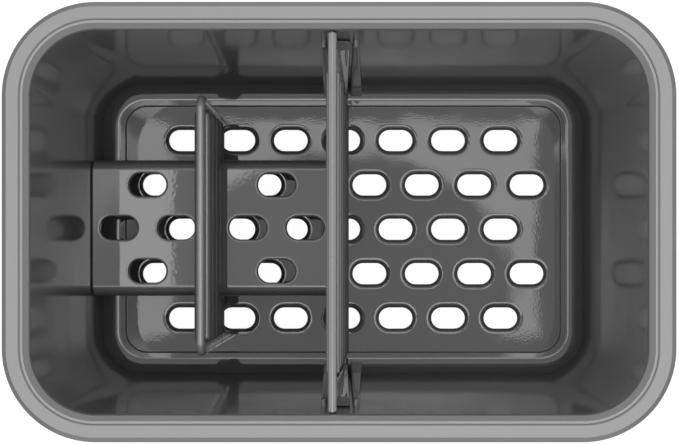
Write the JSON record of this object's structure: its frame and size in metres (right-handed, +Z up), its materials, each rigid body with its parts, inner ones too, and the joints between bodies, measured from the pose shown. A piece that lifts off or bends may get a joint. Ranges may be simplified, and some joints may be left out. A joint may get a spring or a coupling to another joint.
{
  "type": "kitchen sink caddy",
  "caption": "Open rectangular tub with a broad rolled rim, slotted draining floor, lift-out ribbed dividers and a slotted sponge shelf, for brushes and sponges beside a sink.",
  "frame": {"origin": "on the surface that the feet stand on, under the middle of the tub", "axes": "+X along the long side towards the open bay, +Y across the tub, +Z up out of the tub"},
  "size_m": [0.216, 0.141, 0.1221],
  "materials": {
    "tub_plastic": "glossy metallic grey moulding with a satin rim",
    "insert_plastic": "glossy metallic grey moulding",
    "foot_rubber": "matt black"
  },
  "bodies": {
    "tub": {"tub": "tub_plastic", "front_left_foot": "foot_rubber", "front_right_foot": "foot_rubber", "rear_left_foot": "foot_rubber", "rear_right_foot": "foot_rubber"},
    "centre_divider": {"centre_divider": "insert_plastic"},
    "sponge_shelf": {"sponge_shelf": "insert_plastic"},
    "sponge_divider": {"sponge_divider": "insert_plastic"}
  },
  "joints": [
    {"name": "centre_divider_lift", "type": "slide", "parent": "tub", "child": "centre_divider", "axis": [0, 0, 1], "range_m": [0, 0.13]},
    {"name": "shelf_lift", "type": "slide", "parent": "tub", "child": "sponge_shelf", "axis": [0, 0, 1], "range_m": [0, 0.13]},
    {"name": "sponge_divider_lift", "type": "slide", "parent": "sponge_shelf", "child": "sponge_divider", "axis": [0, 0, 1], "range_m": [0, 0.13]}
  ]
}
